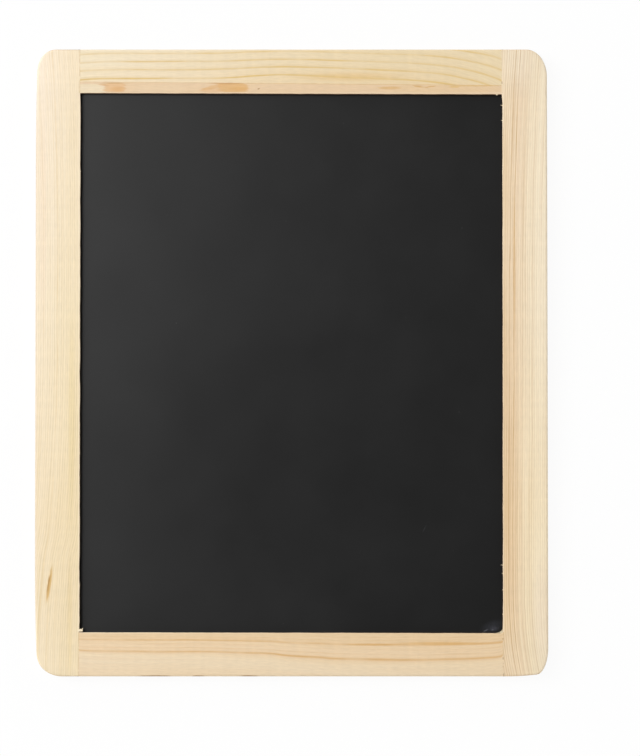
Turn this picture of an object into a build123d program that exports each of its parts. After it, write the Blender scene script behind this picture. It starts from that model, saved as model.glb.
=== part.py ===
from build123d import *
import math
import os

# Writing board: a thin black-coated panel held in the grooves of a glued pine frame.
# Millimetres. The board lies on its back: +X to its right, +Y to its top rail, +Z out of
# the writing face. The origin is the centre of its footprint on the table.

# Overall size
board_width = 215.0
board_height = 263.2
frame_thickness = 9.5

# Frame sticks: the stiles run the full height and the rails fit between them
left_stile_width = 18.6
right_stile_width = 19.1
rail_width = 18.5

# Panel and the groove that holds it
panel_thickness = 3.0
panel_face_clearance = 0.2
panel_edge_clearance = 0.5
groove_depth = 6.0

# Stub tongues on the rail ends, glued into the stile grooves
tongue_cheek_clearance = 0.05
glue_thickness = 0.3

# Sanding after glue-up: the sticks' waste comes off, their arrises are eased, and the corners
# are rounded by hand, so no two are alike. Each corner's run_x lies along the rail and its
# run_y along the stile.
sanding_waste = 1.0
outer_arris_radius = 1.0
inner_arris_radius = 0.25
top_left_run_x = 8.4
top_left_run_y = 10.7
top_right_run_x = 8.6
top_right_run_y = 11.5
bottom_left_run_x = 11.3
bottom_left_run_y = 11.1
bottom_right_run_x = 5.0
bottom_right_run_y = 11.3
# The right stile's foot is sanded up, from this far past the joint to this slope at the corner
foot_start = 2.0
foot_slope_deg = 7.0

# Dried glue squeezed out into the lower right inner corner
bead_along_rail = 3.6
bead_along_stile = 2.0
bead_height = 2.4
bead_lip = 0.3

# Places worked out from the sizes above
half_width = board_width / 2
half_height = board_height / 2
left_joint_x = left_stile_width - half_width
right_joint_x = half_width - right_stile_width
opening_half_height = half_height - rail_width
groove_width = panel_thickness + panel_face_clearance
groove_back_z = (frame_thickness - groove_width) / 2
groove_front_z = groove_back_z + groove_width
panel_front_z = groove_back_z + panel_thickness
tongue_back_z = groove_back_z + tongue_cheek_clearance
tongue_front_z = groove_front_z - tongue_cheek_clearance
tongue_length = groove_depth - glue_thickness
panel_bite = groove_depth - panel_edge_clearance


def block(corner, opposite):
    """A box between two opposite corners."""
    centre = [(a + b) / 2 for a, b in zip(corner, opposite)]
    size = [abs(b - a) for a, b in zip(corner, opposite)]
    return Pos(*centre) * Box(*size)


def rounded_corner(sign_x, sign_y, run_x, run_y, start_deg):
    """A quarter ellipse at one corner of the outline, drawn anticlockwise."""
    centre = (sign_x * (half_width - run_x), sign_y * (half_height - run_y))
    return EllipticalCenterArc(centre, run_x, run_y, start_deg, arc_size=90)


def sloping_foot():
    """The right stile's foot: a long flat arc up from the joint, then the tight corner."""
    slope = math.radians(foot_slope_deg)
    meeting = math.atan(bottom_right_run_x / bottom_right_run_y * math.tan(slope))
    start_x = right_joint_x + foot_start
    corner_x = half_width - bottom_right_run_x * (1 - math.sin(meeting))
    corner_y = (corner_x - start_x) * math.tan(slope / 2) - half_height
    centre = (half_width - bottom_right_run_x, corner_y + bottom_right_run_y * math.cos(meeting))
    foot = TangentArc((start_x, -half_height), (corner_x, corner_y), tangent=(1, 0))
    turned = math.degrees(meeting)
    corner = EllipticalCenterArc(
        centre, bottom_right_run_x, bottom_right_run_y, turned - 90, arc_size=90 - turned
    )
    return foot, corner


def sanded_board():
    """The whole board's outer form after sanding, which trims every stick alike."""
    top_right = rounded_corner(1, 1, top_right_run_x, top_right_run_y, 0)
    top_left = rounded_corner(-1, 1, top_left_run_x, top_left_run_y, 90)
    bottom_left = rounded_corner(-1, -1, bottom_left_run_x, bottom_left_run_y, 180)
    foot, bottom_right = sloping_foot()
    outline = make_face(
        [
            top_right,
            Line(top_right @ 1, top_left @ 0),
            top_left,
            Line(top_left @ 1, bottom_left @ 0),
            bottom_left,
            Line(bottom_left @ 1, foot @ 0),
            foot,
            bottom_right,
            Line(bottom_right @ 1, top_right @ 0),
        ]
    )
    form = extrude(outline, amount=frame_thickness)
    levels = form.edges().group_by(Axis.Z)
    return fillet(levels[0] + levels[-1], outer_arris_radius)


def eased(stick, along, across, inner):
    """Ease the two long inner arrises of a stick."""
    long_edges = stick.edges().filter_by(along)
    inner_edges = long_edges.filter_by_position(across, inner, inner)
    return fillet(inner_edges, inner_arris_radius)


def make_stile(side, inner_x, form):
    """A full-height stick with the panel groove ploughed along its inner edge."""
    waste_x = side * (half_width + sanding_waste)
    waste_y = half_height + sanding_waste
    floor_x = inner_x + side * groove_depth
    stick = block((inner_x, -waste_y, 0), (waste_x, waste_y, frame_thickness))
    stick = eased(stick, Axis.Y, Axis.X, inner_x)
    groove = block((inner_x, -waste_y, groove_back_z), (floor_x, waste_y, groove_front_z))
    return (stick - groove) & form


def make_rail(side, form):
    """A stick between the stiles, with a groove on its inner edge and a tongue at each end."""
    inner_y = side * opening_half_height
    waste_y = side * (half_height + sanding_waste)
    floor_y = inner_y + side * groove_depth
    left_end = left_joint_x - tongue_length
    right_end = right_joint_x + tongue_length
    stick = block((left_joint_x, inner_y, 0), (right_joint_x, waste_y, frame_thickness))
    stick = eased(stick, Axis.X, Axis.Y, inner_y)
    groove = block((left_joint_x, inner_y, groove_back_z), (right_joint_x, floor_y, groove_front_z))
    tongues = block((left_end, floor_y, tongue_back_z), (right_end, waste_y, tongue_front_z))
    return (stick - groove + tongues) & form


def make_panel():
    """The writing panel, lying on the back cheek of the groove all round."""
    return block(
        (left_joint_x - panel_bite, -opening_half_height - panel_bite, groove_back_z),
        (right_joint_x + panel_bite, opening_half_height + panel_bite, panel_front_z),
    )


def make_corner_glue(form):
    """The glue between each tongue's end and the floor of the stile's groove."""
    films = []
    for side_x, joint_x in ((-1, left_joint_x), (1, right_joint_x)):
        tongue_end = joint_x + side_x * tongue_length
        floor_x = joint_x + side_x * groove_depth
        for side_y in (-1, 1):
            inner_y = side_y * (opening_half_height + groove_depth)
            waste_y = side_y * (half_height + sanding_waste)
            film = block((tongue_end, inner_y, tongue_back_z), (floor_x, waste_y, tongue_front_z))
            films.append((film & form).solid())
    return Compound(films)


def make_glue_bead():
    """Squeezed-out glue: a low wedge on the panel, hollow between the rail and the stile."""
    corner = Vector(right_joint_x, -opening_half_height)
    rail_end = corner - Vector(bead_along_rail, 0)
    stile_end = corner + Vector(0, bead_along_stile)
    hollow = EllipticalCenterArc(
        (rail_end.X, stile_end.Y), bead_along_rail - bead_lip, bead_along_stile - bead_lip, arc_size=-90
    )
    wedge = make_face(
        [
            Line(rail_end, corner),
            Line(corner, stile_end),
            Line(stile_end, hollow @ 0),
            hollow,
            Line(hollow @ 1, rail_end),
        ]
    )
    return Pos(0, 0, panel_front_z) * extrude(wedge, amount=bead_height)


form = sanded_board()
nodes = {
    "left_stile": make_stile(-1, left_joint_x, form),
    "right_stile": make_stile(1, right_joint_x, form),
    "top_rail": make_rail(1, form),
    "bottom_rail": make_rail(-1, form),
    "writing_panel": make_panel(),
    "corner_glue": make_corner_glue(form),
    "glue_bead": make_glue_bead(),
}

os.makedirs("parts", exist_ok=True)
for name, shape in nodes.items():
    export_step(shape, f"parts/{name}.step")
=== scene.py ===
import math

import bmesh
import bpy
from mathutils import Matrix, Vector, noise


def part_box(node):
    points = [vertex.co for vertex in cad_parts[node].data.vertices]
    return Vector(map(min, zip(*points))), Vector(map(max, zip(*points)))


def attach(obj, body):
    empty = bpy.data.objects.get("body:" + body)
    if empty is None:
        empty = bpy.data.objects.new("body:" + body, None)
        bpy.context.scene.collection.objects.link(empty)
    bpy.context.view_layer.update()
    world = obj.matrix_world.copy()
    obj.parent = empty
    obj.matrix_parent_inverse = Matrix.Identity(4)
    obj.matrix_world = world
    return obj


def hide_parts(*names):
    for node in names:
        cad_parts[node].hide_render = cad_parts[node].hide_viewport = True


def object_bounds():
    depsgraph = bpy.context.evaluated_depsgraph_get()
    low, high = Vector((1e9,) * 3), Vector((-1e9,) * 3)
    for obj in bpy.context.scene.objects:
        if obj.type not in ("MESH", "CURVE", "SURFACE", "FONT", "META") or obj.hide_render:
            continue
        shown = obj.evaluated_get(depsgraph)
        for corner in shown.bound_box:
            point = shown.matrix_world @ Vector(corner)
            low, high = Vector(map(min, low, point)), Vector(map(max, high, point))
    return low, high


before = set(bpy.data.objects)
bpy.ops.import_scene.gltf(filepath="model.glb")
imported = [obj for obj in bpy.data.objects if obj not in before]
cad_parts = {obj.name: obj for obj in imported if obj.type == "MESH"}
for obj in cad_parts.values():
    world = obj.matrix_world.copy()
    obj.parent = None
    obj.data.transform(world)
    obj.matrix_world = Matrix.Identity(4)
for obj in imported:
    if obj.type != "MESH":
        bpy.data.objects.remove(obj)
cad_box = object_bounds()

# Left stile: the full-height stick on the left. It is pale sapwood pine, planed square, with a
# groove along its inner edge that takes the panel and the rails' tongues. The frame was sanded
# after it was glued up, and the cutter left the inner arris a little uneven.

# Sizes are in millimetres, and those of the frame and its opening come from the solids
MM = 0.001
FRAME_FRONT = cad_box[1].z / MM
PANEL_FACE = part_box("writing_panel")[1].z / MM
OPENING_LOW = Vector((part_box("left_stile")[1].x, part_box("bottom_rail")[1].y, 0)) / MM
OPENING_HIGH = Vector((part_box("right_stile")[0].x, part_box("top_rail")[0].y, 0)) / MM

# The inner arris: how finely it is sliced, how far it reaches into the stick, how long the waves
# are that the cutter left in it, and how near to a joint it runs true again
SLICE = 1.5
ARRIS = 0.3
LONG_WAVE = 9.0
SHORT_WAVE = 2.8
JOINT_FADE = 4.0

# The outer edge: how far from the stick's end the extra sanding starts, deepens and stops
SANDED_FROM = 4.0
SANDED_RISE = 6.0
SANDED_TO = 48.0

# Points nearer than the first are one, faces that turn by fewer radians than the second are one, and
# a cut nearer to a point than the third goes through it
SAME_POINT = 0.0005
SAME_FACE = 0.001
SAME_CUT = 0.0001


def as_piece(shape, name, smooth_under=0):
    """Make a piece of a shape drawn in millimetres, smooth over edges of fewer degrees than given."""
    bmesh.ops.scale(shape, vec=(MM,) * 3, verts=shape.verts)
    mesh = bpy.data.meshes.new(name)
    shape.to_mesh(mesh)
    shape.free()
    if smooth_under:
        mesh.shade_smooth()
        mesh.set_sharp_from_angle(angle=math.radians(smooth_under))
    piece = bpy.data.objects.new(name, mesh)
    bpy.context.scene.collection.objects.link(piece)
    return piece


def planed_stick(node, along, inner, inward, drift, uneven, sanded=(0.0, 0.0)):
    """A stick whose inner front edge drifts and wavers by a fraction of a mm along the opening.

    drift is how far the edge stands into the opening at its low and its high end, and uneven how
    high its waves are at a place. Past the opening, where a rail meets the stick, its front arris
    is square and closes the joint. sanded is how much more was taken off the outer edge near the
    low and the high end.
    """
    across = 1 - along
    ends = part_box(node)[0][along] / MM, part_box(node)[1][along] / MM
    width = (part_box(node)[1][across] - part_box(node)[0][across]) / MM
    shape = bmesh.new()
    shape.from_mesh(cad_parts[node].data)
    bmesh.ops.scale(shape, vec=(1 / MM,) * 3, verts=shape.verts)
    bmesh.ops.remove_doubles(shape, verts=shape.verts, dist=SAME_POINT)
    bmesh.ops.dissolve_limit(shape, angle_limit=SAME_FACE, verts=shape.verts, edges=shape.edges)
    low, high = OPENING_LOW[along], OPENING_HIGH[along]
    cuts = [low + number * SLICE for number in range(1, int((high - low) / SLICE))]
    if along == 1:
        cuts += [low, high]
    square = Vector((along == 0, along == 1, 0))
    for cut in cuts:
        parts = shape.verts[:] + shape.edges[:] + shape.faces[:]
        bmesh.ops.bisect_plane(shape, geom=parts, dist=SAME_CUT, plane_co=square * cut, plane_no=square)
    for vertex in shape.verts:
        place = vertex.co[along]
        outwards = abs(vertex.co[across] - inner) / width
        for end, most in zip(ends, sanded):
            rise = min(1.0, max(0.0, (abs(place - end) - SANDED_FROM) / SANDED_RISE))
            fall = min(1.0, max(0.0, (SANDED_TO - abs(place - end)) / (SANDED_TO - SANDED_FROM)))
            vertex.co[across] += inward * most * rise * fall ** 2 * outwards
        if abs(vertex.co[across] - inner) > ARRIS or vertex.co.z < PANEL_FACE:
            continue
        free = min(1.0, max(0.0, min(place - low, high - place) / JOINT_FADE))
        if free == 0 and vertex.co.z > FRAME_FRONT - ARRIS:
            vertex.co.z = FRAME_FRONT
        if along == 0 or free > 0:
            share = (place - low) / (high - low)
            long_wave = noise.noise((place / LONG_WAVE, inner, 0))
            short_wave = noise.noise((place / SHORT_WAVE, inner, 7))
            waver = long_wave + 0.5 * short_wave
            moved = drift[0] + (drift[1] - drift[0]) * share + uneven(place) * waver
            vertex.co[across] += inward * moved * (1 if along == 0 else free)
    stick = as_piece(shape, node + "_planed", smooth_under=30)
    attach(stick, "root")
    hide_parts(node)
    return stick


def linear(colour):
    """An sRGB hex colour as linear RGBA."""
    parts = [int(colour[n:n + 2], 16) / 255 for n in (1, 3, 5)]
    return [p / 12.92 if p <= 0.04045 else ((p + 0.055) / 1.055) ** 2.4 for p in parts] + [1.0]


def put(tree, kind, feeds=None, stops=(), points=(), **settings):
    """Add one node: its settings, its ramp stops or curve points, and what feeds each socket."""
    node = tree.nodes.new("ShaderNode" + kind)
    for name, value in settings.items():
        setattr(node, name, value)
    for place, _ in stops[1:-1]:
        node.color_ramp.elements.new(place)
    for number, (place, colour) in enumerate(stops):
        node.color_ramp.elements[number].position = place
        node.color_ramp.elements[number].color = colour
    for place in points[1:-1]:
        node.mapping.curves[0].points.new(*place)
    for number, place in enumerate(points):
        node.mapping.curves[0].points[number].location = place
    if points:
        node.mapping.update()
    for socket, value in (feeds or {}).items():
        entries = [entry for entry in node.inputs if entry.enabled]
        if isinstance(socket, int):
            entry = entries[socket]
        else:
            entry = next(entry for entry in entries if entry.name == socket)
        if isinstance(value, bpy.types.Node):
            value = next(output for output in value.outputs if output.enabled)
        if isinstance(value, bpy.types.NodeSocket):
            tree.links.new(value, entry)
        else:
            entry.default_value = value
    return node


def bare_material(name):
    """A new material with nothing in its node tree."""
    material = bpy.data.materials.new(name)
    material.use_nodes = True
    material.node_tree.nodes.clear()
    return material


def place_in_mm(tree):
    """The place on the piece in millimetres, from which every pattern takes its scale."""
    spot = put(tree, "TexCoord")
    return put(tree, "VectorMath", {"Vector": spot.outputs["Object"], "Scale": 1 / MM}, operation="SCALE")


# Growth rings are read on a scale of millimetres across the stick, which a ramp spans
RING_LOW = -8.0
RING_SPAN = 36.0

# A ring line has an even core, and a broad one has fallen to a third at its shoulder
RING_CORE = 0.14
RING_SHOULDER = 0.4
SHOULDER_SHARE = 0.3
BROAD_RING = 0.6

# Rings lean through the thickness, less so with depth, and waver along the stick
RING_LEAN = 0.35
LEAN_CHANGE = 0.03
RING_WAVER = 0.7

# Length, breadth and depth of each pattern in the wood. The flecks, the hairlines and the straight
# lines are drawn as fine as the render can show, and the real ones are up to ten times finer
WAVER_SIZE = (26, 7, 7)
FLECK_SIZE = (3.5, 0.3, 0.4)
FADED_SIZE = (20, 3, 6)
STRIPE_SIZE = (90, 1.4, 3)
HAIR_BREADTH = 0.27
HAIR_DEPTH = 0.8
LINE_STRETCH = (20, 1, 4)
LINE_PITCH = 0.95
LINE_GROUP_SIZE = (90, 2.4, 5)
PLANER_BAND_SIZE = (2.2, 40, 40)

# A wave texture repeats after this length at a scale of 1
WAVE_LENGTH = math.pi / 10

# How far flecks shift the edge of a stain, and how deep a stain goes
FRAY = (5.0, 0.4, 0.0)
STAIN_DEPTH = 3.0

# Where on the across scale lines start and stop changing, and where a stick's middle is
LINES_CHANGE_FROM = 4.0
LINES_CHANGE_TO = 14.0
STICK_MIDDLE = 9.3

# How much flecks and the planer's bands shade the wood, and how high the fibre stands
FLECK_SHADE = 0.045
BAND_SHADE = 0.012
FIBRE_RELIEF = 0.03

# Along the opening: how far from its edge the arris is made fully pale and still a little, by rubbing and
# a painted highlight, and how far below the face the painted brown shade on the wall starts and is full
RUBBED_HIGHLIGHT_FULL = 0.25
RUBBED_HIGHLIGHT_TO = 0.6
RUBBED_HIGHLIGHT_PALE = "#FFF0D6"
WALL_SHADE_FROM = 0.25
WALL_SHADE_FULL = 0.7
WALL_SHADE_STRENGTH = 0.93
WALL_SHADE_BROWN = "#74481F"

# At a joint: how far from the edge its line is full and still shows, how long its dashes are, and its
# colour where glue fills it with the levels of noise between which it is broken
SEAM_FULL = 0.16
SEAM_TO = 0.32
SEAM_DASH = 1.6
FILLED_SEAM = ("#D3B68A", 0.3, 0.55)
END_GRAIN = "#C79F6C"


def on_ramp(place):
    """A place on the ring scale as a share of the ramp."""
    return (place - RING_LOW) / RING_SPAN


def ring_stops(rings):
    """Greyscale ramp stops for ring lines given as (place, strength, rise, drop)."""
    stops = []
    for place, strength, rise, drop in rings:
        stops.append((place - rise, 0.0))
        if rise > BROAD_RING:
            stops.append((place - RING_SHOULDER, SHOULDER_SHARE * strength))
        stops += [(place - RING_CORE, strength), (place + RING_CORE, strength)]
        if drop > BROAD_RING:
            stops.append((place + RING_SHOULDER, SHOULDER_SHARE * strength))
        stops.append((place + drop, 0.0))
    return [(on_ramp(place), (grey, grey, grey, 1.0)) for place, grey in stops]


def pine(name, along, edge, inner_edge, way, bend, pull, fan, tones, tints, late, rings, fibre, hair,
         straight, rubbed_and_highlight, seam, tinges, patches, streaks):
    """Sanded pine: smooth and matt, with ring lines that bend along the stick, fine fibre and stains.

    The across scale starts at edge and runs up or down its axis as way is 1 or -1. bend gives how far
    the rings swing aside along the stick: pull moves them over by it and fan spreads them by it. tones
    are the colours of the early wood across the rings, multiplied by tints along the stick, and late is
    the colour of the ring lines, which are (place, strength, rise, drop). fibre is how strong the soft
    stripes are. hair is how strong the hairlines are at the start and the end of the across scale, and
    how long. straight is how strong the straight lines are at the same two places, the share of them
    that is left at the stick's high end, and their colour. rubbed is how pale the inner arris is made,
    by sanding and by a painted highlight, and seam is the colour of the joint line and how broken it
    is. tinges lie under the rings, patches have square ends and streaks are pointed: each is (along,
    across, half length, half width, slope in degrees, colour, strength, soft share of the edge), and a
    streak can also be painted shade. All lengths are in millimetres.
    """
    material = bare_material(name)
    tree = material.node_tree
    axes = put(tree, "SeparateXYZ", {0: place_in_mm(tree)})
    lengthways = axes.outputs[along]
    z = axes.outputs["Z"]
    feeds = {0: axes.outputs[1 - along], 1: way, 2: -way * edge}
    crossways = put(tree, "Math", feeds, operation="MULTIPLY_ADD")
    stick = put(tree, "CombineXYZ", {0: lengthways, 1: crossways, 2: z})

    # Rings: the across place, leaning through the thickness, with the stick's bend taken out
    start, end = bend[0][0], bend[-1][0]
    least = min(aside for _, aside in bend)
    most = max(aside for _, aside in bend)
    points = [((place - start) / (end - start), (aside - least) / (most - least)) for place, aside in bend]
    share = put(tree, "MapRange", {"Value": lengthways, "From Min": start, "From Max": end})
    curve = put(tree, "FloatCurve", {"Value": share}, points=points)
    bent = put(tree, "MapRange", {"Value": curve, "To Min": least, "To Max": most})
    waver = put(tree, "VectorMath", {0: stick, 1: WAVER_SIZE}, operation="DIVIDE")
    waver = put(tree, "TexNoise", {"Vector": waver, "Scale": 1.0, "Detail": 2.0})
    depth = put(tree, "Math", {0: z, 1: FRAME_FRONT}, operation="SUBTRACT")
    lean = put(tree, "Math", {0: depth, 1: LEAN_CHANGE, 2: RING_LEAN}, operation="MULTIPLY_ADD")
    leaned = put(tree, "Math", {0: depth, 1: lean, 2: crossways}, operation="MULTIPLY_ADD")
    wavy = put(tree, "Math", {0: waver, 1: RING_WAVER, 2: leaned}, operation="MULTIPLY_ADD")
    level = put(tree, "Math", {0: wavy, 1: RING_WAVER / 2}, operation="SUBTRACT")
    pulled = put(tree, "Math", {0: bent, 1: -pull, 2: level}, operation="MULTIPLY_ADD")
    spread = put(tree, "Math", {0: bent, 1: fan, 2: 1.0}, operation="MULTIPLY_ADD")
    ring = put(tree, "Math", {0: pulled, 1: spread}, operation="DIVIDE")
    feeds = {"Value": ring, "From Min": RING_LOW, "From Max": RING_LOW + RING_SPAN}
    ring_scale = put(tree, "MapRange", feeds)

    # Fibre swings aside as the rings in the stick's middle do, but keeps its pitch
    feeds = {0: bent, 1: -pull - fan * STICK_MIDDLE, 2: level}
    swung = put(tree, "Math", feeds, operation="MULTIPLY_ADD")
    flow = put(tree, "CombineXYZ", {0: lengthways, 1: swung, 2: z})

    # Short flecks, which also fray the edges of every stain along the fibre
    flecks = put(tree, "VectorMath", {0: flow, 1: FLECK_SIZE}, operation="DIVIDE")
    flecks = put(tree, "TexNoise", {"Vector": flecks, "Scale": 1.0, "Detail": 2.0})
    feeds = {0: flecks.outputs["Color"], 1: FRAY, 2: stick}
    frayed = put(tree, "VectorMath", feeds, operation="MULTIPLY_ADD")

    def stained_or_shaded(wood, stains, square):
        """Lay stains, and the painted shade listed among them, over the wood, one after another."""
        for place, over, half_length, half_width, slope, colour, strength, soft in stains:
            centre = (place + FRAY[0] / 2, over + FRAY[1] / 2, FRAME_FRONT)
            turn = (0, 0, math.radians(slope))
            size = (half_length, half_width, STAIN_DEPTH)
            feeds = {"Vector": frayed, "Location": centre, "Rotation": turn, "Scale": size}
            inside = put(tree, "Mapping", feeds, vector_type="TEXTURE")
            if square:
                inside = put(tree, "VectorMath", {0: inside, 1: inside}, operation="MULTIPLY")
            out = put(tree, "VectorMath", {"Vector": inside}, operation="LENGTH")
            feeds = {"Value": out, "From Min": 1.0, "From Max": 1.0 - soft, "To Max": strength}
            mark = put(tree, "MapRange", feeds, interpolation_type="SMOOTHSTEP")
            wood = put(tree, "Mix", {"Factor": mark, "A": wood, "B": linear(colour)}, data_type="RGBA")
        return wood

    # Pale early wood, then the lines of late wood, stronger and fainter by turns, then the stains and the
    # painted shade listed with them
    early = put(tree, "ValToRGB", {0: ring_scale}, [(on_ramp(place), linear(c)) for place, c in tones])
    stops = [((place - start) / (end - start), linear(c)) for place, c in tints]
    feeds = {"Factor": 1.0, "A": early, "B": put(tree, "ValToRGB", {0: share}, stops)}
    early = put(tree, "Mix", feeds, data_type="RGBA", blend_type="MULTIPLY")
    early = stained_or_shaded(early, tinges, square=False)
    line = put(tree, "ValToRGB", {0: ring_scale}, ring_stops(rings))
    faded = put(tree, "VectorMath", {0: flow, 1: FADED_SIZE}, operation="DIVIDE")
    faded = put(tree, "TexNoise", {"Vector": faded, "Scale": 1.0, "Detail": 2.0})
    feeds = {"Value": faded, "From Min": 0.35, "From Max": 0.65, "To Min": 0.45, "To Max": 1.15}
    line = put(tree, "Math", {0: line, 1: put(tree, "MapRange", feeds)}, operation="MULTIPLY")
    wood = put(tree, "Mix", {"Factor": line, "A": early, "B": linear(late)}, data_type="RGBA")
    wood = stained_or_shaded(wood, patches, square=True)
    wood = stained_or_shaded(wood, streaks, square=False)

    # Soft stripes and hairlines of late wood along the fibre
    low_hair, high_hair, hair_length = hair
    low_line, high_line, high_end_share, straw = straight
    change = {"Value": crossways, "From Min": LINES_CHANGE_FROM, "From Max": LINES_CHANGE_TO}
    hairy = put(tree, "MapRange", {**change, "To Min": low_hair, "To Max": high_hair})
    hair_size = (hair_length, HAIR_BREADTH, HAIR_DEPTH)
    for size, amount in ((STRIPE_SIZE, fibre), (hair_size, hairy)):
        stripe = put(tree, "VectorMath", {0: flow, 1: size}, operation="DIVIDE")
        stripe = put(tree, "TexNoise", {"Vector": stripe, "Scale": 1.0, "Detail": 0.0})
        feeds = {"Value": stripe, "From Min": 0.44, "From Max": 0.62, "To Max": amount}
        stripe = put(tree, "MapRange", feeds)
        wood = put(tree, "Mix", {"Factor": stripe, "A": wood, "B": linear(late)}, data_type="RGBA")

    # Fine straight lines in loose groups, which fade towards the stick's high end
    ruled = put(tree, "VectorMath", {0: flow, 1: LINE_STRETCH}, operation="DIVIDE")
    feeds = {"Vector": ruled, "Scale": WAVE_LENGTH / LINE_PITCH, "Distortion": 1.5, "Detail": 0.0}
    ruled = put(tree, "TexWave", feeds, wave_type="BANDS", bands_direction="Y", wave_profile="SIN")
    amount = put(tree, "MapRange", {**change, "To Min": low_line, "To Max": high_line})
    feeds = {"Value": share, "From Min": 0.55, "From Max": 0.95, "To Min": 1.0, "To Max": high_end_share}
    fainter = put(tree, "MapRange", feeds)
    grouped = put(tree, "VectorMath", {0: flow, 1: LINE_GROUP_SIZE}, operation="DIVIDE")
    grouped = put(tree, "TexNoise", {"Vector": grouped, "Scale": 1.0, "Detail": 1.0})
    feeds = {"Value": grouped, "From Min": 0.35, "From Max": 0.65, "To Min": 0.5, "To Max": 1.1}
    grouped = put(tree, "MapRange", feeds)
    for factor in (amount, fainter, grouped):
        ruled = put(tree, "Math", {0: ruled, 1: factor}, operation="MULTIPLY")
    wood = put(tree, "Mix", {"Factor": ruled, "A": wood, "B": linear(straw)}, data_type="RGBA")

    # The flecks shade the wood a little, and so do the faint cross bands that the planer left
    bands = put(tree, "VectorMath", {0: stick, 1: PLANER_BAND_SIZE}, operation="DIVIDE")
    bands = put(tree, "TexNoise", {"Vector": bands, "Scale": 1.0, "Detail": 1.0})
    for pattern, swing in ((flecks, FLECK_SHADE), (bands, BAND_SHADE)):
        feeds = {"Value": pattern, "From Min": 0.3, "From Max": 0.7}
        shade = put(tree, "MapRange", {**feeds, "To Min": 1 - swing, "To Max": 1 + swing})
        wood = put(tree, "VectorMath", {"Vector": wood, "Scale": shade}, operation="SCALE")

    # Along the opening the arris is rubbed pale and lightened by a painted highlight, and the wall below it
    # is painted brown as shade
    middle = (OPENING_LOW[along] + OPENING_HIGH[along]) / 2
    half = OPENING_HIGH[along] - middle
    free = put(tree, "Math", {0: lengthways, 1: middle, 2: half + 0.01}, operation="COMPARE")
    near = put(tree, "Math", {0: crossways, 1: way * (inner_edge - edge)}, operation="SUBTRACT")
    near = put(tree, "Math", {0: near}, operation="ABSOLUTE")
    # Painted highlight: a pale band along the inner arris, on top of the paleness that sanding leaves
    feeds = {"Value": near, "From Min": RUBBED_HIGHLIGHT_TO, "From Max": RUBBED_HIGHLIGHT_FULL, "To Max": rubbed_and_highlight}
    rubbed_highlight = put(tree, "MapRange", feeds)
    rubbed_highlight = put(tree, "Math", {0: rubbed_highlight, 1: free}, operation="MULTIPLY")
    wood = put(tree, "Mix", {"Factor": rubbed_highlight, "A": wood, "B": linear(RUBBED_HIGHLIGHT_PALE)}, data_type="RGBA")
    # Painted shade: the wall below the arris is painted dark brown for the shade that lies in the groove
    feeds = {"Value": depth, "From Min": -WALL_SHADE_FROM, "From Max": -WALL_SHADE_FULL, "To Max": WALL_SHADE_STRENGTH}
    wall_shade = put(tree, "MapRange", feeds)
    front = put(tree, "Math", {0: z, 1: PANEL_FACE - 1}, operation="GREATER_THAN")
    edge_on = put(tree, "MapRange", {"Value": near, "From Min": 1.0, "From Max": 0.6})
    wall_shade = put(tree, "Math", {0: wall_shade, 1: front}, operation="MULTIPLY")
    wall_shade = put(tree, "Math", {0: wall_shade, 1: edge_on}, operation="MULTIPLY")
    wood = put(tree, "Mix", {"Factor": wall_shade, "A": wood, "B": linear(WALL_SHADE_BROWN)}, data_type="RGBA")

    # Past the opening a broken line of glue shows in the joint, and end grain drinks in the light
    seam_colour, seam_from, seam_to = seam
    glued = put(tree, "Math", {0: 1.0, 1: free}, operation="SUBTRACT")
    joint = put(tree, "MapRange", {"Value": near, "From Min": SEAM_TO, "From Max": SEAM_FULL})
    joint = put(tree, "Math", {0: joint, 1: glued}, operation="MULTIPLY")
    dashes = put(tree, "VectorMath", {"Vector": stick, "Scale": 1 / SEAM_DASH}, operation="SCALE")
    dashes = put(tree, "TexNoise", {"Vector": dashes, "Scale": 1.0, "Detail": 1.0})
    dashes = put(tree, "MapRange", {"Value": dashes, "From Min": seam_from, "From Max": seam_to})
    joint = put(tree, "Math", {0: joint, 1: dashes}, operation="MULTIPLY")
    wood = put(tree, "Mix", {"Factor": joint, "A": wood, "B": linear(seam_colour)}, data_type="RGBA")
    facing = put(tree, "SeparateXYZ", {0: put(tree, "TexCoord").outputs["Normal"]})
    endwise = put(tree, "Math", {0: facing.outputs[along]}, operation="ABSOLUTE")
    end_grain = put(tree, "MapRange", {"Value": endwise, "From Min": 0.5, "From Max": 0.95, "To Max": 0.5})
    wood = put(tree, "Mix", {"Factor": end_grain, "A": wood, "B": linear(END_GRAIN)}, data_type="RGBA")

    # Late wood and flecks stand up a little, and the wall is rougher than the sanded faces
    height = put(tree, "Math", {0: line, 1: 0.5, 2: flecks}, operation="MULTIPLY_ADD")
    bump = put(tree, "Bump", {"Height": height, "Strength": 0.5, "Distance": FIBRE_RELIEF * MM})
    rough = put(tree, "MapRange", {"Value": flecks, "To Min": 0.58, "To Max": 0.74})
    rough = put(tree, "Math", {0: wall_shade, 1: 0.4, 2: rough}, operation="MULTIPLY_ADD", use_clamp=True)
    feeds = {"Base Color": wood, "Roughness": rough, "Normal": bump, "IOR": 1.45, "Specular IOR Level": 0.4}
    surface = put(tree, "BsdfPrincipled", feeds)
    put(tree, "OutputMaterial", {"Surface": surface})
    return material


# Below this place the cutter left the left stile's arris rougher
ROUGH_BELOW = -80.0

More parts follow.
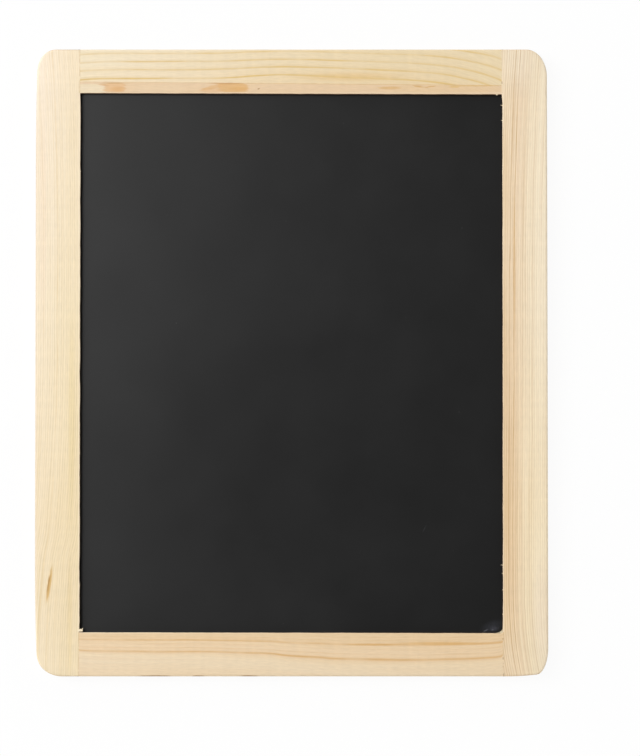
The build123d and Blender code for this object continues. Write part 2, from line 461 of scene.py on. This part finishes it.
left_stile = planed_stick(
    "left_stile", along=1, inner=OPENING_LOW.x, inward=1, drift=(0.13, 0.15),
    uneven=lambda y: 0.24 if y < ROUGH_BELOW else 0.15, sanded=(0.95, 0.65),
)
left_pine = pine(
    "left stile pine sapwood", along=1, edge=cad_box[0].x / MM, inner_edge=OPENING_LOW.x, way=1,
    bend=[
        (-131.6, 8.3), (-107.7, 7.5), (-95.9, 6.55), (-84.6, 5.65), (-70.8, 3.35), (-63.2, 2.65),
        (-43, 1.3), (-7, 0.15), (26.6, 0), (68.9, 0.15), (109.2, 1.15), (131.6, 2.45),
    ],
    pull=-1.865, fan=0.0925,
    tones=[(0, "#F7E9D4"), (8, "#F7E9D2"), (13, "#F6E7CC"), (18.6, "#F5E5C7")],
    tints=[(-131.6, "#F8F5EF"), (-65, "#F9F4E9"), (20, "#FCFAF4"), (131.6, "#FCFAFB")],
    late="#DFC490",
    rings=[
        (place, strength, 0.4, 0.25) for place, strength in (
            (3.5, 0.18), (6.3, 0.12), (8.3, 0.18), (9.35, 0.48),
            (11.5, 0.16), (13.3, 0.16), (14.9, 0.16), (16.4, 0.18),
        )
    ],
    fibre=0.03, hair=(0.06, 0.08, 26), straight=(0.3, 0.32, 0.55, "#CDB67E"),
    rubbed_and_highlight=0.45, seam=FILLED_SEAM,
    tinges=[
        (-25, 15.4, 62, 1.9, 0, "#E9D5A4", 0.55, 0.7),
        (-110, 14.9, 34, 1.4, 0, "#E7D09E", 0.45, 0.7),
        (60, 3.2, 65, 2.2, 0, "#F5E0C8", 0.5, 0.7),
    ],
    patches=[],
    streaks=[
        # Painted shade: the first streak darkens the outer arris the whole length of the stile, where the
        # soft box lights it more than the face
        (0, 0, 400, 0.95, 0, "#D9CAB7", 0.75, 0.5),
        (-93.2, 6.1, 11, 1.4, 9, "#E8CD9A", 0.6, 0.7),
        (-93.2, 6.05, 9.0, 0.9, 9, "#CFA25E", 0.85, 0.6),
        (-92.6, 5.8, 5.4, 0.55, 10, "#AD8044", 0.8, 0.7),
    ],
)
left_stile.data.materials.append(left_pine)

# Torn pine fibre: raw wood that no sander reached, so it is matt and paler than the face
WISP = 0.4

torn_pine = bare_material("torn pine fibre")
tree = torn_pine.node_tree
wisps = put(tree, "TexNoise", {"Vector": place_in_mm(tree), "Scale": 1 / WISP, "Detail": 2.0})
pale = put(tree, "ValToRGB", {0: wisps}, [(0.35, linear("#E9D3AC")), (0.65, linear("#F8ECD2"))])
bump = put(tree, "Bump", {"Height": wisps, "Strength": 0.5, "Distance": 0.05 * MM})
feeds = {"Base Color": pale, "Roughness": 0.8, "Normal": bump, "IOR": 1.45}
surface = put(tree, "BsdfPrincipled", feeds)
put(tree, "OutputMaterial", {"Surface": surface})

# Slivers hang this far below the face, this many degrees off upright
SLIVER_DEPTH = 0.6
SLIVER_LIE = 84.0


def torn_fibre(node, slivers):
    """Slivers lifted from a stick's inner arris and left hanging by one end.

    Each is (x, y, length, breadth, tip share of the breadth, heading in degrees from +X).
    """
    shape = bmesh.new()
    for x, y, length, breadth, tip, heading in slivers:
        root = Matrix.Translation((x, y, FRAME_FRONT - SLIVER_DEPTH))
        turn = Matrix.Rotation(math.radians(heading), 4, "Z")
        lie = Matrix.Rotation(math.radians(SLIVER_LIE), 4, "Y")
        reach = Matrix.Translation((0, 0, length / 2))
        bmesh.ops.create_cone(
            shape, cap_ends=True, segments=6, radius1=breadth / 2, radius2=breadth / 2 * tip,
            depth=length, matrix=root @ turn @ lie @ reach,
        )
    fibre = as_piece(shape, node + "_torn_fibre")
    fibre.data.materials.append(torn_pine)
    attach(fibre, "root")


torn_fibre("left_stile", [
    (-89.2, -112.4, 1.8, 1.4, 0.8, 2),
    (-88.1, -112.3, 1.2, 0.5, 0.3, 48),
    (-89.2, 80.0, 0.85, 0.3, 0.3, 20),
])

# Right stile: the full-height stick on the right. It is pine from nearer the heart of the tree, with
# closer rings, pinker along its inner third and cream outside. It is planed, grooved and glued as
# the left one is.

right_stile = planed_stick(
    "right_stile", along=1, inner=OPENING_HIGH.x, inward=-1, drift=(-0.16, -0.32), uneven=lambda y: 0.08
)
right_pine = pine(
    "right stile pine heartwood", along=1, edge=cad_box[1].x / MM, inner_edge=OPENING_HIGH.x, way=-1,
    bend=[
        (-131.6, 3.4), (-122.8, 1.8), (-116, 1.0), (-106, 0.35), (-98, 0.1), (-60, 0), (-23, 0.4),
        (18, 0.5), (60, 0.9), (86, 1.5), (103, 2.2), (120, 3.0), (131.6, 3.7),
    ],
    pull=-1.0, fan=0.0,
    tones=[(0, "#F6E8CE"), (8, "#F5E6CA"), (14, "#F2DEC2"), (22.5, "#F3E0C2")],
    tints=[(-131.6, "#FFFFFB"), (-60, "#FFFDF6"), (20, "#FFFFFF"), (131.6, "#FFFFFF")],
    late="#C39C6C",
    rings=[
        (3.4, 0.08, 0.3, 0.2), (7.0, 0.3, 0.3, 0.2), (8.3, 0.12, 0.3, 0.2), (9.9, 0.12, 0.3, 0.2),
        (11.3, 0.3, 0.3, 0.2), (13.3, 0.26, 0.3, 0.2), (14.75, 0.7, 0.25, 0.2), (16.45, 0.7, 0.25, 0.2),
    ],
    fibre=0.1, hair=(0.04, 0.16, 45), straight=(0.2, 0.44, 1.0, "#C8A46E"),
    rubbed_and_highlight=0.45, seam=("#A07C55", 0.56, 0.64),
    tinges=[
        (-50, 19.5, 165, 9.5, 0, "#E1C39B", 0.85, 0.9),
        (40, 14.0, 45, 0.8, 0, "#DBB683", 0.6, 0.7),
        (75, 17.3, 34, 2.4, 0, "#DFC199", 0.35, 0.7),
        (-20, 17.1, 50, 2.6, 0, "#EED6B6", 0.55, 0.7),
        (128, 12.5, 19, 11, 0, "#F7EDD8", 0.65, 0.9),
        (-128, 17.0, 20, 5.0, 0, "#F0DCBE", 0.75, 0.8),
        (-106, 2.2, 34, 6.5, 0, "#EFDEC4", 0.75, 0.8),
    ],
    patches=[],
    streaks=[
        (-131.3, 18.7, 0.8, 0.35, 0, "#6E5438", 0.75, 0.6),
    ],
)
right_stile.data.materials.append(right_pine)
torn_fibre("right_stile", [
    (88.9, 107.8, 1.15, 0.3, 0.4, 160),
    (88.9, 101.6, 0.8, 0.35, 0.4, 170),
    (88.9, -85.2, 1.25, 0.35, 0.4, 170),
    (88.9, -88.4, 0.85, 0.35, 0.4, 190),
    (88.9, -95.4, 0.75, 0.3, 0.4, 180),
    (88.9, -105.4, 0.8, 0.35, 0.4, 200),
])

# Top rail: the pine stick between the stiles at the top, held by a glued tongue at each end. Its
# broad rings sweep down to the right, and a band of pinker heartwood with orange resin patches
# runs along its inner edge.

top_rail = planed_stick(
    "top_rail", along=0, inner=OPENING_HIGH.y, inward=-1, drift=(-0.07, 0.47), uneven=lambda x: 0.07
)
top_pine = pine(
    "top rail pine", along=0, edge=cad_box[1].y / MM, inner_edge=OPENING_HIGH.y, way=-1,
    bend=[
        (-89, 1.6), (-78, 1.15), (-56, 1.1), (-41, 1.05), (-27, 0.85), (-16, 0.3), (-3, 0), (8, 0.2),
        (20, 0.65), (34, 1.0), (49, 1.6), (57, 2.1), (65, 2.85), (72, 4.05), (80, 5.9), (88.4, 9.0),
    ],
    pull=0.87, fan=0.04,
    tones=[(-4, "#EFE1C5"), (5, "#EEDFC2"), (12, "#EEDCBC"), (18, "#EDDAB7")],
    tints=[(-89, "#FEFEFE"), (-60, "#FCFBFB"), (-20, "#F9F5EF"), (35, "#F6F0E4"), (88.4, "#F6F0E4")],
    late="#DBBB7B",
    rings=[
        (place, strength, 1.2, 0.5) for place, strength in (
            (-5.6, 0.66), (-2.6, 0.7), (0.75, 0.74), (4.05, 0.76), (7.35, 0.82), (10.85, 0.87),
        )
    ],
    fibre=0.06, hair=(0.05, 0.08, 30), straight=(0.01, 0.03, 1.0, "#C8AE76"),
    rubbed_and_highlight=0.15, seam=FILLED_SEAM,
    tinges=[
        (24, 11.6, 32, 2.6, 0, "#DDB674", 0.45, 0.8),
    ],
    patches=[
        (0, 19.5, 260, 5.2, 0.5, "#C9985F", 0.4, 0.02),
        (0, 19.5, 260, 4.95, 0.5, "#E3C7A5", 0.92, 0.05),
        (-85, 16.6, 8, 2.4, 0, "#E9D9BC", 0.85, 0.6),
        (-55, 16.8, 12, 2.2, 0, "#E4CAA9", 0.7, 0.6),
        (-74.4, 16.1, 5.2, 2.1, 0.5, "#DEB384", 0.7, 0.4),
        (-24.6, 16.2, 6.9, 2.0, 0.5, "#DCAE74", 0.85, 0.3),
        (-33.5, 17.3, 4.5, 1.2, 0, "#DCB388", 0.6, 0.5),
    ],
    streaks=[
        (62, 16.8, 34, 2.6, 0, "#E0C194", 0.4, 0.5),
        (-72.8, 16.8, 4.2, 1.6, 0, "#DAA870", 0.6, 0.7),
        (-79, 14.9, 3.0, 0.6, 8, "#D3AA80", 0.6, 0.6),
        (-74.6, 14.25, 6.5, 0.4, 0.5, "#C29767", 0.6, 0.6),
        (-33.2, 16.0, 7.5, 1.1, -14, "#DAAD78", 0.7, 0.7),
        (-27, 14.45, 10, 0.4, 0.5, "#C28F56", 0.65, 0.6),
        (-22, 16.6, 6.0, 1.1, 0, "#D9A664", 0.5, 0.7),
        (41.3, 16.3, 6.0, 0.8, 0, "#D8B07A", 0.8, 0.5),
        (53.3, 15.6, 3.6, 0.4, 10, "#CFA468", 0.75, 0.6),
        (58.4, 15.8, 3.0, 0.4, -8, "#CFA468", 0.75, 0.6),
        (68.6, 15.8, 3.0, 0.6, 0, "#DCB878", 0.7, 0.5),
        (77, 15.4, 14, 0.36, 0, "#D6B06E", 0.55, 0.6),
        (-13.8, 16.7, 0.6, 0.45, 0, "#A97F50", 0.9, 0.7),
    ],
)
top_rail.data.materials.append(top_pine)
torn_fibre("top_rail", [(86.5, 113.5, 1.3, 0.9, 0.5, 265)])

# Bottom rail: the pine stick between the stiles at the bottom, held as the top one is. It has two
# strong ring lines that swing outwards past the middle, orange fibre along its inner edge and plain
# cream below.

bottom_rail = planed_stick(
    "bottom_rail", along=0, inner=OPENING_LOW.y, inward=1, drift=(-0.1, -0.46), uneven=lambda x: 0.07
)
bottom_pine = pine(
    "bottom rail pine", along=0, edge=OPENING_LOW.y, inner_edge=OPENING_LOW.y, way=-1,
    bend=[
        (-88.9, -0.1), (-78, 0.33), (-56, 0.55), (-41, 0.5), (-26, 0.88), (-11, 1.25), (-3, 2.1), (4, 2.55),
        (12, 3.0), (19, 3.55), (35, 3.7), (50, 4.05), (57, 4.0), (65, 3.7), (80, 3.2), (88.4, 1.9),
    ],
    pull=0.28, fan=0.094,
    tones=[
        (0, "#E5CBA6"), (2.5, "#E7CDA8"), (5.5, "#E9D0AE"), (7.4, "#E8CEAA"), (9.4, "#EAD5B5"),
        (12, "#E9D5B6"), (18.5, "#E7D0AE"),
    ],
    tints=[(-88.9, "#FFFFFF"), (0, "#FDFCFA"), (88.4, "#FCFAF6")],
    late="#D1A365",
    rings=[
        (0.8, 0.15, 0.3, 0.2), (1.8, 0.2, 0.4, 0.2), (2.97, 0.62, 0.9, 0.5), (4.6, 0.12, 0.4, 0.2),
        (6.1, 0.22, 0.4, 0.2), (7.6, 0.7, 0.5, 1.2),
    ],
    fibre=0.06, hair=(0.1, 0.03, 30), straight=(0.02, 0.02, 1.0, "#C8AE76"),
    rubbed_and_highlight=0.45, seam=FILLED_SEAM,
    tinges=[
        (-60, 2.2, 40, 1.8, 0, "#E6C496", 0.15, 0.7),
    ],
    patches=[],
    streaks=[
        (62.2, 4.7, 26, 1.1, 0, "#D6A968", 0.65, 0.8),
        (34, 5.2, 17, 0.6, 0, "#D1A365", 0.7, 0.7),
        (-57, 18.4, 9.5, 0.4, 0, "#8F653A", 0.9, 0.5),
        (-39.2, 18.35, 3.2, 0.4, 0, "#8F653A", 0.8, 0.5),
        (-17.8, 18.35, 5.0, 0.4, 0, "#8F653A", 0.8, 0.5),
    ],
)
bottom_rail.data.materials.append(bottom_pine)

# Writing panel: thin hardboard sprayed with a black chalkboard coat. It lies in the grooves all
# round, a few millimetres below the frame's face, and was wiped more than once.

# Chalkboard coat: to the eye a dead black with a satin sheen. Its orange peel is too shallow to be
# seen by itself and only softens the sheen, and its smears change the sheen from place to place.
ORANGE_PEEL = 1.2
SMEAR = 30.0

coat = bare_material("black chalkboard coat")
tree = coat.node_tree
mm = place_in_mm(tree)
orange_peel = put(tree, "TexNoise", {"Vector": mm, "Scale": 1 / ORANGE_PEEL, "Detail": 2.0})
smear = put(tree, "TexNoise", {"Vector": mm, "Scale": 1 / SMEAR, "Detail": 4.0, "Roughness": 0.6})
smeared = {"Value": smear, "From Min": 0.3, "From Max": 0.7}
satin = put(tree, "MapRange", {**smeared, "To Min": 0.327, "To Max": 0.353})

# Wiping left the middle smoother and the upper right rougher: (centre, reach, how much smoother)
for centre, reach, smoother in (((0, -35), (110, 80), 0.02), ((92, 60), (40, 85), -0.014)):
    feeds = {"Vector": mm, "Location": (*centre, PANEL_FACE), "Scale": (*reach, 100)}
    wiped = put(tree, "Mapping", feeds, vector_type="TEXTURE")
    wiped = put(tree, "VectorMath", {"Vector": wiped}, operation="LENGTH")
    feeds = {"Value": wiped, "From Min": 1.0, "From Max": 0.2, "To Max": smoother}
    wiped = put(tree, "MapRange", feeds, interpolation_type="SMOOTHSTEP")
    satin = put(tree, "Math", {0: satin, 1: wiped}, operation="SUBTRACT")
black = put(tree, "MapRange", {**smeared, "To Min": 0.0033, "To Max": 0.0047})

# Dried film of thin glue near the bead and a hair scratch: (centre, half size, slope in degrees,
# colour, strength), broken up by a mottle of this size
MOTTLE = 0.9
film = put(tree, "TexNoise", {"Vector": mm, "Scale": 1 / MOTTLE, "Detail": 3.0})
for centre, half_size, slope, colour, strength in (
    ((84.2, -110.9), (6.0, 2.8), 22, "#3C3E46", 0.9),
    ((85.0, -111.8), (2.4, 1.2), 10, "#4C4D58", 1.2),
    ((81.5, -112.5), (1.4, 0.35), 25, "#8A8A90", 0.9),
    ((84.3, -112.3), (0.8, 0.3), 10, "#8A8A90", 0.8),
    ((55.8, -69.9), (2.2, 0.14), 62, "#55565A", 1.0),
):
    turn = (0, 0, math.radians(slope))
    feeds = {"Vector": mm, "Location": (*centre, PANEL_FACE), "Rotation": turn, "Scale": (*half_size, 1)}
    inside = put(tree, "Mapping", feeds, vector_type="TEXTURE")
    out = put(tree, "VectorMath", {"Vector": inside}, operation="LENGTH")
    near = put(tree, "MapRange", {"Value": out, "From Min": 1.0, "From Max": 0.0, "To Max": strength})
    mark = put(tree, "Math", {0: near, 1: film}, operation="MULTIPLY")
    black = put(tree, "Mix", {"Factor": mark, "A": black, "B": linear(colour)}, data_type="RGBA")

# Dust clings to the coat here and there, drawn larger than real dust so that it shows
DUST_SPACING = 24.0
DUST_RADIUS = 0.264
DUST_CORE = 0.12
feeds = {"Vector": mm, "Scale": 1 / DUST_SPACING, "Randomness": 1.0}
cells = put(tree, "TexVoronoi", feeds, voronoi_dimensions="2D")
feeds = {
    "Value": cells.outputs["Distance"],
    "From Min": DUST_RADIUS / DUST_SPACING, "From Max": DUST_CORE / DUST_SPACING,
}
speck = put(tree, "MapRange", feeds)
few = put(tree, "SeparateColor", {0: cells.outputs["Color"]})
few = put(tree, "MapRange", {"Value": few, "From Min": 0.7, "From Max": 1.0, "To Max": 0.16})
speck = put(tree, "Math", {0: speck, 1: few}, operation="MULTIPLY")
black = put(tree, "Mix", {"Factor": speck, "A": black, "B": linear("#A5A39E")}, data_type="RGBA")
bump = put(tree, "Bump", {"Height": orange_peel, "Strength": 0.1, "Distance": 0.01 * MM})
feeds = {"Base Color": black, "Roughness": satin, "Normal": bump, "IOR": 1.5}
surface = put(tree, "BsdfPrincipled", feeds)
put(tree, "OutputMaterial", {"Surface": surface})
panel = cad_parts["writing_panel"]
panel.data.materials.clear()
panel.data.materials.append(coat)

# Corner glue: white wood glue at the end of each tongue, which holds the four corners. It dried to a
# cream resin inside the joint and shows only at the board's top and bottom edges.

# Dried wood glue: cream and a little cloudy, with a dull shine
CLOUD = 0.8

glue = bare_material("dried wood glue")
tree = glue.node_tree
cloud = put(tree, "TexNoise", {"Vector": place_in_mm(tree), "Scale": 1 / CLOUD, "Detail": 3.0})
cream = put(tree, "ValToRGB", {0: cloud}, [(0.35, linear("#E2CDA4")), (0.65, linear("#EFE1C1"))])
rough = put(tree, "MapRange", {"Value": cloud, "To Min": 0.45, "To Max": 0.6})
bump = put(tree, "Bump", {"Height": cloud, "Strength": 0.3, "Distance": 0.05 * MM})
feeds = {"Base Color": cream, "Roughness": rough, "Normal": bump, "IOR": 1.47}
surface = put(tree, "BsdfPrincipled", feeds)
put(tree, "OutputMaterial", {"Surface": surface})
corner_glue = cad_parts["corner_glue"]
corner_glue.data.materials.clear()
corner_glue.data.materials.append(glue)

# Glue bead: the same glue squeezed out into the lower right inner corner. It sank as it dried to a
# hollow fillet, full against the wood and thin out to its tips along the rail and the stile.

BEAD_ALONG_RAIL = 4.4
BEAD_ALONG_STILE = 2.5
BEAD_HEIGHT = 3.0
BEAD_LIP = 0.06
BEAD_LUMPS = 0.1
BEAD_INTO_STILE = 0.2
BEAD_INTO_RAIL = 0.55
BEAD_CORNER = Vector((OPENING_HIGH.x + BEAD_INTO_STILE, OPENING_LOW.y - BEAD_INTO_RAIL, PANEL_FACE))

# A flat grid is fanned out from the corner and raised to the fillet, then drawn down to the panel
shape = bmesh.new()
bmesh.ops.create_grid(shape, x_segments=28, y_segments=10, size=0.5)
for vertex in shape.verts:
    heading = math.pi * (1 - (vertex.co.x + 0.5) / 2)
    out = vertex.co.y + 0.5
    rail_share = (abs(math.cos(heading)) / BEAD_ALONG_RAIL) ** 0.5
    stile_share = (abs(math.sin(heading)) / BEAD_ALONG_STILE) ** 0.5
    reach = out / (rail_share + stile_share) ** 2
    lump = 1 + BEAD_LUMPS * out * noise.noise((3 * heading, 2 * out, 0))
    rise = BEAD_LIP + BEAD_HEIGHT * lump * (1 - out ** 3)
    vertex.co = BEAD_CORNER + Vector((reach * math.cos(heading), reach * math.sin(heading), rise))
grown = bmesh.ops.extrude_face_region(shape, geom=shape.faces[:])["geom"]
for vertex in [part for part in grown if isinstance(part, bmesh.types.BMVert)]:
    vertex.co.z = PANEL_FACE
bmesh.ops.remove_doubles(shape, verts=shape.verts, dist=SAME_POINT)
bmesh.ops.recalc_face_normals(shape, faces=shape.faces)
bead = as_piece(shape, "squeezed_glue", smooth_under=40)
bead.data.materials.append(glue)
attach(bead, "root")
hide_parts("glue_bead")

# Floor: a plain sheet of white paper that the board lies on. It is cut away under the board and is
# clear from below, so that the board's back can be looked at from there.

FLOOR_HALF = 3000.0
FLOOR_DROP = 0.05
CUT_INSIDE = 2.0
CUT_CORNER = 12.0

sheet = bmesh.new()
bmesh.ops.create_grid(sheet, x_segments=1, y_segments=1, size=FLOOR_HALF)
cut_out = sheet.faces[:]
bmesh.ops.inset_individual(sheet, faces=cut_out, thickness=FLOOR_HALF / 2)
for vertex in cut_out[0].verts:
    vertex.co.x = math.copysign(cad_box[1].x / MM - CUT_INSIDE, vertex.co.x)
    vertex.co.y = math.copysign(cad_box[1].y / MM - CUT_INSIDE, vertex.co.y)
bmesh.ops.bevel(
    sheet, geom=cut_out[0].verts[:], offset=CUT_CORNER, affect="VERTICES",
    segments=6, profile=0.5, material=-1,
)
cut_out = min(sheet.faces, key=lambda face: face.calc_center_median().length)
bmesh.ops.delete(sheet, geom=[cut_out], context="FACES_ONLY")
bmesh.ops.translate(sheet, vec=(0, 0, -FLOOR_DROP), verts=sheet.verts)
floor = as_piece(sheet, "floor")

# White paper: matt, and to the eye nearly as white as the room, with a soft shadow left on it
SEEN_WHITE = 0.93

paper = bare_material("white paper")
tree = paper.node_tree
ray = put(tree, "LightPath")
seen = ray.outputs["Is Camera Ray"]
for kind in ("Is Glossy Ray", "Is Transmission Ray"):
    seen = put(tree, "Math", {0: seen, 1: ray.outputs[kind]}, operation="MAXIMUM")
share = put(tree, "Math", {0: seen, 1: SEEN_WHITE}, operation="MULTIPLY")
matt = put(tree, "BsdfDiffuse", {"Color": linear("#F4F4F4")})
white = put(tree, "Emission", {"Color": linear("#FFFFFF")})
above = put(tree, "MixShader", {0: share, 1: matt, 2: white})
below = put(tree, "BsdfTransparent")
side = put(tree, "NewGeometry")
mixed = put(tree, "MixShader", {0: side.outputs["Backfacing"], 1: above, 2: below})
put(tree, "OutputMaterial", {"Surface": mixed})
floor.data.materials.append(paper)

# Studio: one large soft box up to the left and towards the top, and a pale room that is dim
# overhead, so that the satin panel shows a soft sheen from its upper left corner. Lengths and
# places are in metres.

BOX_WIDTH = 1.9
BOX_HEIGHT = 1.06
BOX_POWER = 45.0
BOX_PLACE = Vector((-1.34, 0.48, 2.0))

key = bpy.data.lights.new("soft box", "AREA")
key.shape = "RECTANGLE"
key.size = BOX_WIDTH
key.size_y = BOX_HEIGHT
key.energy = BOX_POWER
key_lamp = bpy.data.objects.new("soft box", key)
facing_board = BOX_PLACE.to_track_quat("Z", "X").to_matrix().to_4x4()
key_lamp.matrix_world = Matrix.Translation(BOX_PLACE) @ facing_board
bpy.context.scene.collection.objects.link(key_lamp)

# The room's light by height, from straight down at -1 to overhead at 1
WALLS_UP_TO = 0.55
OVERHEAD_FROM = 0.8
OVERHEAD = 0.06

world = bpy.data.worlds.new("pale room")
bpy.context.scene.world = world
world.use_nodes = True
tree = world.node_tree
tree.nodes.clear()
height = put(tree, "SeparateXYZ", {0: put(tree, "TexCoord").outputs["Generated"]})
stops = [(WALLS_UP_TO, linear("#FFFFFF")), (OVERHEAD_FROM, (OVERHEAD, OVERHEAD, OVERHEAD, 1.0))]
room = put(tree, "ValToRGB", {0: height.outputs["Z"]}, stops)
shell = put(tree, "Background", {"Color": room, "Strength": 1.0})
put(tree, "OutputWorld", {"Surface": shell})

# Camera: a long lens a metre and a half above the board and almost square to it, a little nearer the
# bottom rail. Its frame is shifted, so that the board lies left of the middle and a little high.

PIXELS_PER_MM = 2.384
FRAME_HEIGHT = 756
SENSOR = 36.0
DISTANCE = 1500.0
TILT = math.radians(1.86)
CENTRE_RIGHT = 28.5
CENTRE_DOWN = 16.0

lens = bpy.data.cameras.new("camera")
lens.sensor_width = SENSOR
lens.lens = SENSOR * DISTANCE * PIXELS_PER_MM / FRAME_HEIGHT
lens.shift_x = CENTRE_RIGHT / FRAME_HEIGHT
lens.shift_y = -CENTRE_DOWN / FRAME_HEIGHT
camera = bpy.data.objects.new("camera", lens)
aim = Matrix.Translation((0, 0, FRAME_FRONT * MM)) @ Matrix.Rotation(TILT, 4, "X")
camera.matrix_world = aim @ Matrix.Translation((0, 0, DISTANCE * MM))
bpy.context.scene.collection.objects.link(camera)
bpy.context.scene.camera = camera
bpy.context.scene.view_settings.view_transform = "Standard"
